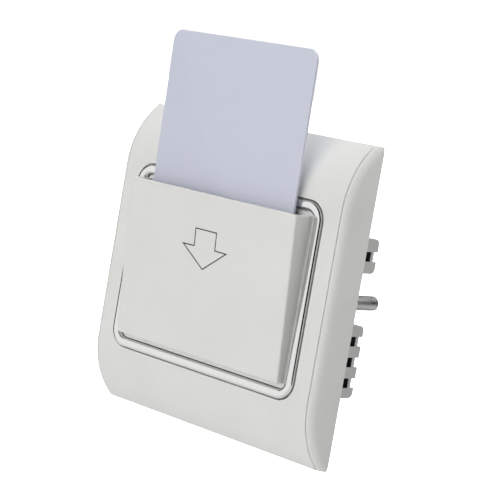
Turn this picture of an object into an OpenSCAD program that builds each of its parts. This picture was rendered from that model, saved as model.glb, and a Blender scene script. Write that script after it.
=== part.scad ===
// Hotel key card switch for a square wall box: an arched face plate with a chrome trim ring and a card pocket,
// a contactless card reader and a power relay in the housing behind it, and screw terminals at the back.
// X is to the right, Y goes into the wall and Z is up. The wall is the plane Y = 0.

/* [Wall plate] */
// Width of the whole plate
plate_w = 86; // [84:0.5:92]
// Height of the whole plate
plate_h = 86; // [84:0.5:92]
// Distance of the flat front from the wall
plate_d = 10.5; // [10.2:0.1:12]
// Radius of the arch at the top and the bottom
arch_r = 23.5; // [21:0.5:27]
// Height of the plate's edge over the wall at the top and the bottom
edge_t = 2.1; // [1.6:0.1:2.6]
// Wall of the arched face panel
panel_t = 1.8; // [1.5:0.1:1.9]
// Width of the cheek at each side of the face panel
cheek_w = 1.85; // [1.6:0.05:2.6]
// Radius of the arc across the cheek's front
cheek_round = 2.6; // [2.2:0.1:3.4]
// Step from the face panel's front down to the cheek
cheek_step = 0.25; // [0.1:0.05:0.4]
// Wall of the mounting frame's web
web_t = 2.4; // [2:0.1:2.8]

/* [Trim ring] */
// Width of the ring
ring_w = 70.6; // [69.6:0.2:71.6]
// Height of the ring
ring_h = 52.3; // [51.5:0.1:53]
// Radius of the ring's outer corners
ring_corner = 5.2; // [4.6:0.1:6]
// Width of the ring's half-round band
ring_band = 2.5; // [2.2:0.1:2.7]
// Height of the band over the flat front
ring_proud = 0.8; // [0.5:0.1:1]
// Groove between the ring and the face panel
ring_gap = 0.35; // [0.2:0.05:0.5]

/* [Card and pocket] */
// Width of the key card
card_w = 54; // [53:0.1:55]
// Length of the key card
card_l = 85.6; // [80:0.2:88]
// Thickness of the key card
card_t = 0.76; // [0.6:0.02:0.9]
// Radius of the card's corners
card_corner = 3.18; // [2.5:0.1:4]
// Forward lean of the card in degrees
card_lean = 1.55; // [1.2:0.05:1.8]
// Space between the card's faces and the guide ribs
card_gap = 0.25; // [0.2:0.05:0.35]
// Space at each side of the card
card_side_gap = 0.4; // [0.3:0.05:0.6]
// Space between the ring and each side of the pocket
pocket_side_gap = 1.15; // [0.8:0.05:1.8]
// Space between the ring and the pocket's lip
lip_gap = 1.35; // [0.8:0.05:2]
// Space between the ring and the pocket's floor
floor_gap = 2.65; // [2.3:0.05:3.2]
// Distance of the pocket's lip from the wall
lip_y = 16.7; // [16.2:0.1:17.5]
// Distance of the pocket's lower front edge from the wall
foot_y = 12.9; // [12.7:0.05:13.3]
// Wall of the pocket's front
pocket_t = 1.2; // [1:0.05:1.25]
// Wall of the pocket under the card's foot
foot_t = 0.9; // [0.8:0.05:1.2]
// Radius of the pocket's lower front edge
foot_round = 0.4; // [0.3:0.05:0.7]
// Groove between the ring and the raised centre that carries the pocket
centre_gap = 0.5; // [0.3:0.05:0.6]
// Depth of the guides that centre the card under the pocket's lip
guide_drop = 10.3; // [8:0.1:14]

/* [Rear housing] */
// Width of the housing
housing_w = 58; // [57:0.2:58.6]
// Top of the housing over the plate's middle
housing_top = 17.5; // [17.2:0.1:18.4]
// Bottom of the housing under the plate's middle
housing_bottom = 26.8; // [26.4:0.1:27.6]
// Depth of the housing's back behind the wall face
housing_d = 20.2; // [19.2:0.1:22]
// Wall of the housing
housing_t = 1.8; // [1.6:0.1:1.9]
// Height of the ribbed pads on the housing's back
pad_h = 1.5; // [1:0.1:2.5]
// Height of each vent slot
vent_h = 2.7; // [2:0.1:3]
// Spacing of the vent slots
vent_pitch = 5.8; // [5.4:0.05:5.9]
// Width of the fixing tabs at the housing's top and bottom
tab_w = 24; // [20:0.5:30]
// Height of a fixing tab
tab_h = 5.5; // [5.2:0.1:6.5]
// Distance of the frame screws from the middle
tab_screw_x = 8; // [6:0.5:9]

/* [Wall screws] */
// Spacing of the wall box screws
box_pitch = 60.3; // [60:0.05:60.6]
// Thread radius of a wall screw
wall_screw_r = 2; // [1.7:0.05:2.1]
// Length of a wall screw under its head
wall_screw_l = 25; // [20:0.5:40]

/* [Terminals] */
// Spacing of the four terminals
pole_pitch = 11.6; // [11:0.1:11.9]
// Thread radius of a terminal screw
clamp_screw_r = 1.75; // [1.5:0.05:1.8]
// Travel of a terminal screw
clamp_travel = 2.6; // [2:0.1:2.7]
// Radius of a wire entry
wire_r = 1.95; // [1.6:0.05:1.98]

/* [Relay] */
// Length of the relay
relay_l = 20.4; // [20:0.1:21]
// Width of the relay
relay_w = 10; // [9.6:0.1:10.4]
// Height of the relay over the power board
relay_h = 12; // [11.6:0.1:12]
// Wall of the relay's cover
relay_wall = 0.8; // [0.6:0.05:0.9]
// Radius of the coil's core
core_r = 1.2; // [0.8:0.1:1.5]
// Largest swing of the armature in degrees
armature_swing = 6; // [4:0.5:6.5]

/* [Board parts] */
// Width of the antenna coil
antenna_w = 37; // [30:0.5:39]
// Height of the antenna coil
antenna_h = 30; // [24:0.5:31]
// Width of the antenna coil's band
antenna_band = 3; // [2:0.1:4]
// Length of the film capacitor
film_l = 13; // [10:0.1:13.3]
// Width of the film capacitor
film_w = 4.8; // [4:0.1:5]
// Height of the film capacitor
film_h = 10; // [8:0.1:11]
// Radius of the smoothing capacitor
can_r = 4.8; // [4:0.1:4.9]
// Length of the smoothing capacitor
can_l = 14; // [11:0.1:15]
// Radius of the varistor
varistor_r = 4; // [3:0.1:4.4]
// Thickness of the varistor
varistor_t = 3.5; // [2.5:0.1:3.8]
// Radius of the fuse
fuse_r = 2.4; // [2:0.1:2.6]
// Length of the fuse
fuse_l = 11.5; // [9:0.1:12]
// Width of the reader's main chip
chip_w = 10; // [7:0.5:11]
// Width of a status light
led_w = 3.2; // [2:0.1:3.5]
// Height of a status light
led_h = 2; // [1.2:0.1:2.2]
// Spacing of the pins between the boards
pin_pitch = 2.54; // [2:0.01:2.6]

/* [Clearances] */
// Seam between the face panel, the ring and their neighbours
seam = 0.15; // [0.1:0.05:0.2]
// Space around a piece that sits loosely in an opening
fit_gap = 0.3; // [0.2:0.05:0.35]
// Radial space of a thread in its bore
thread_gap = 0.05; // [0.03:0.01:0.08]

/* [Hidden] */
$fn = 96;
half_w = plate_w / 2;
half_h = plate_h / 2;
arch_y = arch_r - plate_d;
flat_z = round(100 * (half_h - sqrt(pow(arch_r, 2) - pow(arch_r - plate_d + edge_t, 2)))) / 100;
cheek_x = half_w - cheek_w;
panel_in = plate_d - panel_t;
ring_back = panel_in - 0.7;
flange_t = 1.2;
flange_back = ring_back - flange_t;
flange_w = ring_w + 1.4;
flange_h = ring_h + 5.7;
ring_inner_z = ring_h / 2 - ring_band;
lip_z = ring_inner_z - lip_gap;
floor_z = ring_inner_z - floor_gap;
guide_z = lip_z - guide_drop;
pocket_w = ring_w - 2 * (ring_band + pocket_side_gap);
snap_x = 16;
snap_w = 6;
snap_z = flange_h / 2 + 3.6;
snap_y = arch_y - sqrt(pow(arch_r - panel_t, 2) - pow(snap_z - flat_z, 2)) - panel_t / 3;
cover_t = 1;
rim_y = 5.2;
housing_x = housing_w / 2;
notch_x = box_pitch / 2 - 4.95;
notch_top = 7.9;
notch_bottom = -6.6;
channel_y = 8.5;
lean_k = tan(card_lean);
card_foot_y = -11.15;
card_foot_z = 0.05 - floor_z;
front_k = (lip_y - foot_y) / (lip_z + floor_z);
wall_k = pocket_t * sqrt(1 + pow(front_k, 2));
pcb_t = 1.6;
reader_t = 1.2;
reader_y = -3.8;
power_y = min(4, housing_d - housing_t - fit_gap - relay_h - pcb_t);
power_back = power_y + pcb_t;
column_x = 21.5;
column_lo = -22.8;
column_hi = 12.7;
board_screw_r = 1.1;
block_top = 1.2;
block_low = -6.4;
block_y = 18.5;
pole_z = -2.6;
poles = [-1.5, -0.5, 0.5, 1.5];
tunnel_in_y = 14.9;
shoe_y = tunnel_in_y - 0.2;
relay_z = -14.6;
relay_x1 = -2.8;
relay_x0 = relay_x1 - relay_l;
relay_base_y = power_back + 1.6;
relay_top_y = power_back + relay_h;
yoke_t = 0.7;
yoke_y = relay_top_y - relay_wall - 0.4 - yoke_t;
yoke_x = relay_x0 + relay_wall + 0.4;
pole_face_x = relay_x1 - 5.2;
arm_x = pole_face_x + 0.6;
arm_t = 0.8;
hinge_x = arm_x + arm_t / 2;
hinge_y = yoke_y - 0.1;
contact_y = relay_base_y + 1;
contact_top = contact_y + 0.9;
coil_gap = 0.2;
coil_flange_r = (yoke_y - contact_top) / 2 - coil_gap;
coil_r = coil_flange_r - 0.2;
coil_y = yoke_y - coil_flange_r - coil_gap;
contact_swing = (hinge_y - contact_y) * sin(armature_swing);
header_z = housing_top - housing_t - 2.6;
pins = [-1.5, -0.5, 0.5, 1.5];
pin_r = 0.32;
film_x = -1.5 * pin_pitch - pin_r - 1.07;
fuse_x = 1.5 * pin_pitch + pin_r + 1.87;
antenna_z = -6;
led_z = antenna_z - antenna_h / 2 + 7;
tab_t = 2;
tab_screw_drop = 3;
tab_screw_z = [housing_top + tab_screw_drop, -housing_bottom - tab_screw_drop];
tab_screw_r = 1.1;
vent_low = notch_bottom - 4.4;
vents = [(housing_top + notch_top) / 2 - 0.15, vent_low, vent_low - vent_pitch, vent_low - 2 * vent_pitch];

white = [0.86, 0.86, 0.84];
grey = [0.72, 0.72, 0.71];
chrome = [0.8, 0.82, 0.84];
brass = [0.8, 0.64, 0.3];
steel = [0.6, 0.61, 0.63];
board_green = [0.1, 0.36, 0.2];
black = [0.12, 0.12, 0.13];

// A 2-D shape of depth and height, carried sideways from x0 to x1
module along_x(x0, x1) {
    translate([x0, 0, 0]) rotate([90, 0, 90]) linear_extrude(x1 - x0) children();
}

// A 2-D shape of width and height, carried into the wall from y0 to y1
module along_y(y0, y1) {
    translate([0, y1, 0]) rotate([90, 0, 0]) linear_extrude(y1 - y0) children();
}

// A block between two corners
module block(x0, x1, y0, y1, z0, z1) {
    translate([x0, y0, z0]) cube([x1 - x0, y1 - y0, z1 - z0]);
}

// A rod into the wall at a place on the plate
module rod_y(x, z, r, y0, y1) {
    translate([x, y0, z]) rotate([-90, 0, 0]) cylinder(r = r, h = y1 - y0);
}

// A pointed or stepped rod into the wall
module cone_y(x, z, r0, r1, y0, y1) {
    translate([x, y0, z]) rotate([-90, 0, 0]) cylinder(r1 = r0, r2 = r1, h = y1 - y0);
}

module both_sides() {
    children();
    mirror([1, 0, 0]) children();
}

module both_ends() {
    children();
    mirror([0, 0, 1]) children();
}

module rounded_rect(w, h, r) {
    square([w - 2 * r, h], center = true);
    square([w, h - 2 * r], center = true);
    for (x = [-1, 1], y = [-1, 1]) {
        translate([x * (w / 2 - r), y * (h / 2 - r)]) circle(r);
    }
}

// One arched end of the plate in the side view
module arch_end(inset) {
    intersection() {
        translate([arch_y, flat_z]) circle(arch_r - inset);
        translate([inset - plate_d, flat_z]) square([plate_d - inset, half_h - inset - flat_z]);
    }
}

// Side view of the plate: flat in the middle, both ends arched back towards the wall
module plate_profile(inset) {
    translate([inset - plate_d, -flat_z]) square([plate_d - inset, 2 * flat_z]);
    arch_end(inset);
    mirror([0, 1]) arch_end(inset);
}

// Outline of the housing from the front, with a notch at each side for the wall box's screw post
module housing_outline(grow) {
    difference() {
        translate([-housing_x - grow, -housing_bottom - grow])
            square([housing_w + 2 * grow, housing_top + housing_bottom + 2 * grow]);
        for (side = [-1, 1]) {
            translate([side * (notch_x + grow + 10), (notch_top + notch_bottom) / 2])
                square([20, notch_top - notch_bottom - 2 * grow], center = true);
        }
    }
}

// Hook that holds the pocket's flange behind the face panel
module flange_hook() {
    z = flange_h / 2 + fit_gap;
    block(26, 32, -panel_in - 0.5, -flange_back + 1.1, z, z + 1.4);
    block(26, 32, 0.1 - flange_back, -flange_back + 1.1, z - 1.1, z + 0.1);
}

// Spring arm that snaps the face panel onto the mounting frame
module snap_arm() {
    block(snap_x, snap_x + snap_w, snap_y, -web_t - 1.2, snap_z, snap_z + 1.2);
    block(snap_x, snap_x + snap_w, -web_t - 2.5, -web_t - 1.7, snap_z - 0.7, snap_z + 0.1);
}

// Catch on the mounting frame that a spring arm snaps behind
module snap_catch() {
    x0 = snap_x - 0.5;
    x1 = snap_x + snap_w + 0.5;
    block(x0, x1, -web_t - 3.6, 0.1 - web_t, snap_z - 2.9, snap_z - 0.9);
    block(x0, x1, -web_t - 3.6, -web_t - 2.8, snap_z - 1, snap_z - 0.2);
}

module face_panel() color(white) {
    difference() {
        along_x(seam - cheek_x, cheek_x - seam) plate_profile(0);
        along_x(-half_w, half_w) plate_profile(panel_t);
        along_y(-plate_d - 1, 0)
            rounded_rect(ring_w + 2 * ring_gap, ring_h + 2 * ring_gap, ring_corner + ring_gap);
        block(-half_w, half_w, -seam, 1, -half_h - 1, half_h + 1);
    }
    both_sides() both_ends() snap_arm();
    both_sides() both_ends() flange_hook();
}

// Section of a cheek, from a depth of zero to the given reach: one arc falls from the seam to a faint crease at
// the cheek's side
module cheek_section(reach) {
    rise = cheek_w - cheek_round + 0.04;
    side = reach - sqrt(pow(cheek_round, 2) - pow(rise, 2));
    intersection() {
        square([reach + 1, cheek_w]);
        union() {
            square([side, cheek_w]);
            translate([side, rise]) circle(cheek_round);
        }
    }
}

// Arched end of a cheek: a disc with a rounded rim, kept where the plate is
module cheek_end() {
    intersection() {
        translate([cheek_x, arch_y, flat_z]) rotate([0, 90, 0])
            rotate_extrude() cheek_section(arch_r - cheek_step);
        block(cheek_x, half_w, -plate_d, 0, flat_z, half_h);
    }
}

module cheek() {
    cheek_end();
    mirror([0, 0, 1]) cheek_end();
    translate([cheek_x, 0, -flat_z]) rotate([0, 0, -90]) linear_extrude(2 * flat_z)
        cheek_section(plate_d - cheek_step);
}

module wall_slot() {
    for (x = [-1, 1]) {
        translate([x * 1.3, 0]) circle(wall_screw_r + 0.2);
    }
    square([2.6, 2 * wall_screw_r + 0.4], center = true);
}

module mounting_frame() color(white) {
    web_z = flat_z + sqrt(pow(arch_r - panel_t, 2) - pow(arch_y + web_t, 2)) - fit_gap;
    both_sides() cheek();
    difference() {
        block(-cheek_x, cheek_x, -web_t, 0, -web_z, web_z);
        along_y(-web_t - 1, 1) housing_outline(fit_gap);
        both_sides() along_y(-web_t - 1, 1) translate([box_pitch / 2, 0]) wall_slot();
        for (x = [-tab_screw_x, tab_screw_x], z = tab_screw_z) {
            rod_y(x, z, tab_screw_r + thread_gap, -web_t - 1, 1);
        }
    }
    both_sides() both_ends() snap_catch();
}

// Half-round band of the ring, from its inner side at zero, as a section of width and height
module ring_section() {
    square([ring_band, plate_d + ring_proud - ring_band / 2 - ring_back]);
    intersection() {
        translate([ring_band / 2, plate_d + ring_proud - ring_band / 2 - ring_back]) circle(ring_band / 2);
        square([ring_band, plate_d + ring_proud]);
    }
}

module ring_corner_piece() {
    translate([ring_w / 2 - ring_corner, -ring_back, ring_h / 2 - ring_corner]) rotate([90, 0, 0])
        rotate_extrude(angle = 90) translate([ring_corner - ring_band, 0]) ring_section();
}

module ring_long_side() {
    translate([0, -ring_back, ring_h / 2 - ring_band])
        along_x(ring_corner - ring_w / 2, ring_w / 2 - ring_corner) rotate(90) ring_section();
}

module ring_short_side() {
    translate([ring_w / 2 - ring_band, -ring_back, ring_corner - ring_h / 2])
        linear_extrude(ring_h - 2 * ring_corner) mirror([0, 1]) ring_section();
}

module chrome_ring() color(chrome) {
    both_sides() both_ends() ring_corner_piece();
    both_sides() ring_short_side();
    both_sides() block(ring_w / 2 - 1, ring_w / 2 + 1.5, -panel_in, -ring_back, -18, 18);
    both_ends() ring_long_side();
}

function front_y(z) = -foot_y - (z + floor_z) * front_k;
function card_y(z) = card_foot_y - (z - card_foot_z) * lean_k;

// Side view of the pocket's outer shape, its lower front edge rounded
module pocket_profile(back) {
    r = foot_round;
    n = sqrt(1 + pow(front_k, 2));
    cz = r - floor_z - foot_t;
    tz = cz - r * front_k / n;
    cy = front_y(tz) + r / n;
    polygon([[back, lip_z], [front_y(lip_z), lip_z], [front_y(tz), tz], [cy, cz], [back, cz]]);
    translate([cy, cz]) circle(r);
    translate([cy, cz - r]) square([back - cy, r]);
}

// Side view of the room inside the pocket
module pocket_room(back, low) {
    top = lip_z + 1;
    polygon([[back, top], [front_y(top) + wall_k, top], [front_y(low) + wall_k, low], [back, low]]);
}

module front_rib() {
    g = card_t / 2 + card_gap;
    top = lip_z - 4.3;
    land = top - 3;
    low = 11 - floor_z;
    along_x(-0.75, 0.75) polygon([[front_y(top) + wall_k / 2, top], [card_y(land) - g, land],
        [card_y(low) - g, low], [front_y(low) + wall_k / 2, low]]);
}

module back_rib(back) {
    g = card_t / 2 + card_gap;
    top = lip_z - 3.3;
    land = top - 3;
    along_x(-0.75, 0.75) polygon([[back + 0.5, top], [back, top], [card_y(land) + g, land],
        [card_y(-floor_z) + g, -floor_z - 0.1], [back + 0.5, -floor_z - 0.1]]);
}

module card_pocket() color(white) {
    back = 0.6 - plate_d;
    inset = ring_band + centre_gap;
    difference() {
        union() {
            along_y(-ring_back, -flange_back) square([flange_w, flange_h], center = true);
            along_y(back, -ring_back + 0.1)
                rounded_rect(ring_w - 2 * inset, ring_h - 2 * inset, ring_corner - inset);
            along_x(-pocket_w / 2, pocket_w / 2) pocket_profile(back + 0.5);
        }
        along_x(-card_w / 2 - card_side_gap, card_w / 2 + card_side_gap) pocket_room(back, -floor_z);
        along_x(pocket_t - pocket_w / 2, pocket_w / 2 - pocket_t) pocket_room(back, guide_z);
    }
    for (x = [-16, 16]) {
        translate([x, 0, 0]) front_rib();
        translate([x, 0, 0]) back_rib(back);
    }
}

module key_card() color([0.8, 0.82, 0.88]) {
    translate([0, card_foot_y, card_foot_z]) rotate([card_lean, 0, 0]) translate([0, 0, card_l / 2])
        along_y(-card_t / 2, card_t / 2) rounded_rect(card_w, card_l, card_corner);
}

module inner_cover() color(grey) {
    along_y(-rim_y - cover_t, -rim_y) housing_outline(0);
}

// Raised pad on the housing's back, its outer corners rounded, as a side view
module pad_profile(z0, z1) {
    r = 1.5;
    y1 = housing_d + pad_h;
    translate([housing_d - 0.6, z0]) square([y1 - r - housing_d + 0.6, z1 - z0]);
    translate([y1 - r - 0.1, z0 + r]) square([r + 0.1, z1 - z0 - 2 * r]);
    translate([y1 - r, z0 + r]) circle(r);
    translate([y1 - r, z1 - r]) circle(r);
}

module vent_cuts() {
    for (z = vents) {
        block(-housing_x - 1, housing_x + 1, housing_d, housing_d + pad_h + 1, z - vent_h / 2, z + vent_h / 2);
        both_sides() block(housing_x - housing_t - 0.1, housing_x + 1, 12, housing_d - 1.1,
            z - vent_h / 2, z + vent_h / 2);
    }
}

// Room in one of the two chambers behind the power board
module chamber(z0, z1) {
    block(housing_t - housing_x, housing_x - housing_t, 0, housing_d - housing_t, z0, z1);
}

// Fixing tab at the housing's top or bottom edge
module housing_tab(z, up) {
    difference() {
        translate([-tab_w / 2, -web_t - tab_t, up > 0 ? z - 0.5 : z - tab_h]) cube([tab_w, tab_t, tab_h + 0.5]);
        for (x = [-tab_screw_x, tab_screw_x]) {
            rod_y(x, z + tab_screw_drop * up, tab_screw_r + fit_gap, -web_t - tab_t - 1, 0);
        }
    }
}

module rear_housing() color(grey) {
    difference() {
        union() {
            along_y(-rim_y, housing_d) housing_outline(0);
            along_x(-housing_x, housing_x) pad_profile(notch_top, housing_top);
            along_x(-housing_x, housing_x) pad_profile(-housing_bottom, notch_bottom);
        }
        along_y(-rim_y - 1, channel_y - housing_t) housing_outline(-housing_t);
        block(-housing_x - 1, housing_x + 1, channel_y, housing_d + pad_h + 1, notch_bottom, notch_top);
        chamber(notch_top + housing_t, housing_top - housing_t);
        chamber(housing_t - housing_bottom, notch_bottom - housing_t);
        vent_cuts();
        for (p = poles) {
            block(p * pole_pitch - 0.9, p * pole_pitch + 0.9, 0, channel_y + 1, pole_z - 0.7, pole_z + 0.7);
        }
    }
    for (x = [-column_x, column_x], z = [column_lo, column_hi]) {
        difference() {
            rod_y(x, z, 2.4, power_back, housing_d - 0.5);
            rod_y(x, z, board_screw_r + thread_gap, power_back - 1, 14);
        }
    }
    housing_tab(housing_top, 1);
    housing_tab(-housing_bottom, -1);
}

// Pan-head screw from the front, its thread starting at the given depth
module pan_screw(x, z, head_r, head_h, neck_r, thread_r, y0, y1, y2) {
    difference() {
        rod_y(x, z, head_r, y0 - head_h, y0);
        block(x - head_r, x + head_r, y0 - head_h - 1, y0 - head_h / 2, z - head_r / 8, z + head_r / 8);
        block(x - head_r / 8, x + head_r / 8, y0 - head_h - 1, y0 - head_h / 2, z - head_r / 2, z + head_r / 2);
    }
    rod_y(x, z, neck_r, y0 - 0.1, y1 + 0.1);
    rod_y(x, z, thread_r, y1, y2 - 0.6);
    cone_y(x, z, thread_r, thread_r - 0.5, y2 - 0.6, y2);
}

module wall_screws() color(steel) {
    for (x = [-box_pitch / 2, box_pitch / 2]) {
        pan_screw(x, 0, 4, 2.4, wall_screw_r - 0.4, wall_screw_r, -web_t, 0, wall_screw_l - web_t);
    }
}

module frame_screws() color(steel) {
    for (x = [-tab_screw_x, tab_screw_x], z = tab_screw_z) {
        pan_screw(x, z, 2.1, 1.4, tab_screw_r - 0.05, tab_screw_r, -web_t - tab_t, -web_t - 0.2, -0.2);
    }
}

// Holes that both boards share: screws at the corners and the header's pins
module board_holes(y) {
    for (x = [-column_x, column_x], z = [column_lo, column_hi]) {
        rod_y(x, z, board_screw_r + 0.2, y - 1, y + 3);
    }
    for (i = pins) {
        rod_y(i * pin_pitch, header_z, pin_r + 0.13, y - 1, y + 3);
    }
}

module reader_board() color(board_green) {
    difference() {
        along_y(reader_y, reader_y + reader_t) housing_outline(-housing_t - fit_gap);
        board_holes(reader_y);
    }
}

module antenna_coil() color(brass) {
    difference() {
        along_y(reader_y - 0.5, reader_y) translate([0, antenna_z])
            rounded_rect(antenna_w, antenna_h, antenna_band + 1);
        along_y(reader_y - 1, reader_y + 1) translate([0, antenna_z])
            rounded_rect(antenna_w - 2 * antenna_band, antenna_h - 2 * antenna_band, 2);
    }
}

module reader_chips() color(black) {
    y = reader_y + reader_t;
    block(-3 - chip_w, -3, y, y + 1.3, -4 - chip_w, -4);
    block(5, 5 + chip_w / 2, y, y + 1, -12, -6);
}

module status_leds() color([0.7, 0.8, 0.95]) {
    for (x = [-6, 6]) {
        block(x - led_w / 2, x + led_w / 2, reader_y - 0.7, reader_y, led_z - led_h / 2, led_z + led_h / 2);
    }
}

module header_block() color(black) {
    difference() {
        block(-2 * pin_pitch, 2 * pin_pitch, reader_y + reader_t, reader_y + reader_t + 2.5,
            header_z - pin_pitch / 2, header_z + pin_pitch / 2);
        board_holes(reader_y + 1);
    }
}

module header_pins() color(brass) {
    for (i = pins) {
        rod_y(i * pin_pitch, header_z, pin_r, reader_y - 0.5, power_back + 0.8);
    }
}

module power_board() color(board_green) {
    difference() {
        along_y(power_y, power_back) housing_outline(-housing_t - fit_gap);
        board_holes(power_y);
        for (p = poles) {
            block(p * pole_pitch - 0.8, p * pole_pitch + 0.8, 0, channel_y, pole_z - 0.6, pole_z + 0.6);
        }
    }
}

module board_spacers() color(grey) {
    for (x = [-column_x, column_x], z = [column_lo, column_hi]) {
        difference() {
            rod_y(x, z, 2.1, reader_y + reader_t, power_y);
            rod_y(x, z, board_screw_r + 0.2, reader_y, power_y + 1);
        }
    }
}

module board_screws() color(steel) {
    for (x = [-column_x, column_x], z = [column_lo, column_hi]) {
        pan_screw(x, z, 2, 1.1, board_screw_r - 0.05, board_screw_r, reader_y, reader_y + 0.5, 13);
    }
}

module relay_base() color(black) {
    edge = relay_wall + 0.2;
    block(relay_x0 + edge, relay_x1 - edge, power_back, relay_base_y, relay_z - relay_w / 2 + edge,
        relay_z + relay_w / 2 - edge);
}

module relay_cover() color([0.2, 0.3, 0.5]) {
    difference() {
        block(relay_x0, relay_x1, power_back, relay_top_y, relay_z - relay_w / 2, relay_z + relay_w / 2);
        block(relay_x0 + relay_wall, relay_x1 - relay_wall, power_back - 1, relay_top_y - relay_wall,
            relay_z - relay_w / 2 + relay_wall, relay_z + relay_w / 2 - relay_wall);
    }
}

// A rod across the plate for the coil and its core
module rod_x(y, z, r, x0, x1) {
    translate([x0, y, z]) rotate([0, 90, 0]) cylinder(r = r, h = x1 - x0);
}

module relay_coil() color([0.7, 0.35, 0.15]) {
    difference() {
        union() {
            rod_x(coil_y, relay_z, coil_r, yoke_x + 2, pole_face_x - 1.4);
            rod_x(coil_y, relay_z, coil_flange_r, yoke_x + 1, yoke_x + 2);
            rod_x(coil_y, relay_z, coil_flange_r, pole_face_x - 1.4, pole_face_x - 0.6);
            block(yoke_x + 1.4, yoke_x + 2.2, relay_base_y, coil_y, relay_z - 1.5, relay_z + 1.5);
        }
        rod_x(coil_y, relay_z, core_r + thread_gap, yoke_x, pole_face_x);
    }
}

module relay_yoke() color(steel) {
    block(yoke_x, yoke_x + 0.8, coil_y - 2.4, yoke_y + yoke_t, relay_z - 3, relay_z + 3);
    block(yoke_x, arm_x - 0.3, yoke_y, yoke_y + yoke_t, relay_z - 3, relay_z + 3);
    rod_x(coil_y, relay_z, core_r, yoke_x + 0.7, pole_face_x);
}

module relay_armature() color(steel) {
    block(arm_x, arm_x + arm_t, contact_y - 0.8, hinge_y, relay_z - 2.6, relay_z + 2.6);
    translate([hinge_x, hinge_y, relay_z - 2.6]) cylinder(r = arm_t / 2, h = 5.2);
    rod_x(contact_y, relay_z, 0.7, arm_x - 0.4, arm_x + arm_t + 0.4);
}

module relay_contacts() color(brass) {
    open_x = arm_x - 0.4 - contact_swing - 0.1;
    shut_x = arm_x + arm_t + 0.4 + 0.15;
    block(open_x - 0.9, open_x - 0.4, relay_base_y, contact_top, relay_z - 1.5, relay_z + 1.5);
    rod_x(contact_y, relay_z, 0.7, open_x - 0.5, open_x);
    block(shut_x + 0.4, shut_x + 0.9, relay_base_y, contact_top, relay_z - 1.5, relay_z + 1.5);
    rod_x(contact_y, relay_z, 0.7, shut_x, shut_x + 0.5);
}

module film_capacitor() color([0.75, 0.6, 0.1]) {
    block(film_x - film_l, film_x, power_back, power_back + film_h,
        column_hi - film_w / 2, column_hi + film_w / 2);
}

module smoothing_capacitor() color(black) {
    rod_x(power_back + can_r + 0.2, relay_z, can_r, 4, 4 + can_l);
    for (x = [5, 2 + can_l]) {
        block(x, x + 1, power_back, power_back + 3, relay_z - 1, relay_z + 1);
    }
}

module varistor() color([0.15, 0.25, 0.6]) {
    x = 22.25;
    rod_x(power_back + varistor_r + 0.6, relay_z, varistor_r, x - varistor_t / 2, x + varistor_t / 2);
    block(x - 0.75, x + 0.75, power_back, power_back + 3, relay_z - 2, relay_z + 2);
}

module fuse() color(steel) {
    rod_x(power_back + fuse_r + 1, column_hi, fuse_r, fuse_x, fuse_x + fuse_l);
    for (x = [fuse_x + 0.5, fuse_x + fuse_l - 2]) {
        block(x, x + 1.5, power_back, power_back + 3, column_hi - fuse_r / 2, column_hi + fuse_r / 2);
    }
}

module terminal_block() color([0.2, 0.45, 0.3]) {
    difference() {
        block(-2 * pole_pitch - 0.4, 2 * pole_pitch + 0.4, channel_y, block_y, block_low, block_top);
        for (p = poles) {
            translate([p * pole_pitch, 0, 0]) {
                block(-3.5, 3.5, 9.4, 16.6, -5.4, 0.2);
                rod_y(0, pole_z, clamp_screw_r + fit_gap, 16, block_y + 1);
                translate([0, 12.3, 0]) cylinder(r = wire_r, h = block_top + 1);
                block(-0.9, 0.9, channel_y - 1, 10, pole_z - 0.7, pole_z + 0.7);
            }
        }
    }
}

module terminal_tunnels() color(brass) {
    for (p = poles) {
        translate([p * pole_pitch, 0, 0]) {
            difference() {
                block(-3.4, 3.4, 9.4, 16.5, -5.3, 0.1);
                block(-2.4, 2.4, 10.4, tunnel_in_y, -6, 1);
                rod_y(0, pole_z, clamp_screw_r + thread_gap, tunnel_in_y - 1, 17);
            }
            block(-0.7, 0.7, power_y - 0.5, 9.5, pole_z - 0.5, pole_z + 0.5);
        }
    }
}

// Pressure shoe that a terminal screw pushes onto the wire
module clamp_shoe(p) {
    x = p * pole_pitch;
    color(brass) block(x - 2.1, x + 2.1, shoe_y - 0.8, shoe_y, pole_z - 2.2, pole_z + 2.2);
}

// Slotted terminal screw, backed out as it is delivered
module clamp_screw(p) {
    x = p * pole_pitch;
    tip_y = shoe_y + 0.1;
    end_y = block_y + clamp_travel;
    color(steel) difference() {
        union() {
            cone_y(x, pole_z, clamp_screw_r - 0.5, clamp_screw_r, tip_y, tip_y + 0.5);
            rod_y(x, pole_z, clamp_screw_r, tip_y + 0.5, end_y);
        }
        block(x - 0.3, x + 0.3, end_y - 0.9, end_y + 1, pole_z - 3, pole_z + 3);
    }
}

module clamp_shoe_1() clamp_shoe(poles[0]);
module clamp_shoe_2() clamp_shoe(poles[1]);
module clamp_shoe_3() clamp_shoe(poles[2]);
module clamp_shoe_4() clamp_shoe(poles[3]);
module clamp_screw_1() clamp_screw(poles[0]);
module clamp_screw_2() clamp_screw(poles[1]);
module clamp_screw_3() clamp_screw(poles[2]);
module clamp_screw_4() clamp_screw(poles[3]);

face_panel();
mounting_frame();
chrome_ring();
card_pocket();
key_card();
inner_cover();
rear_housing();
wall_screws();
frame_screws();
reader_board();
antenna_coil();
reader_chips();
status_leds();
header_block();
header_pins();
power_board();
board_spacers();
board_screws();
relay_base();
relay_cover();
relay_coil();
relay_yoke();
relay_armature();
relay_contacts();
film_capacitor();
smoothing_capacitor();
varistor();
fuse();
terminal_block();
terminal_tunnels();
clamp_shoe_1();
clamp_shoe_2();
clamp_shoe_3();
clamp_shoe_4();
clamp_screw_1();
clamp_screw_2();
clamp_screw_3();
clamp_screw_4();
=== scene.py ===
import math

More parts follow.
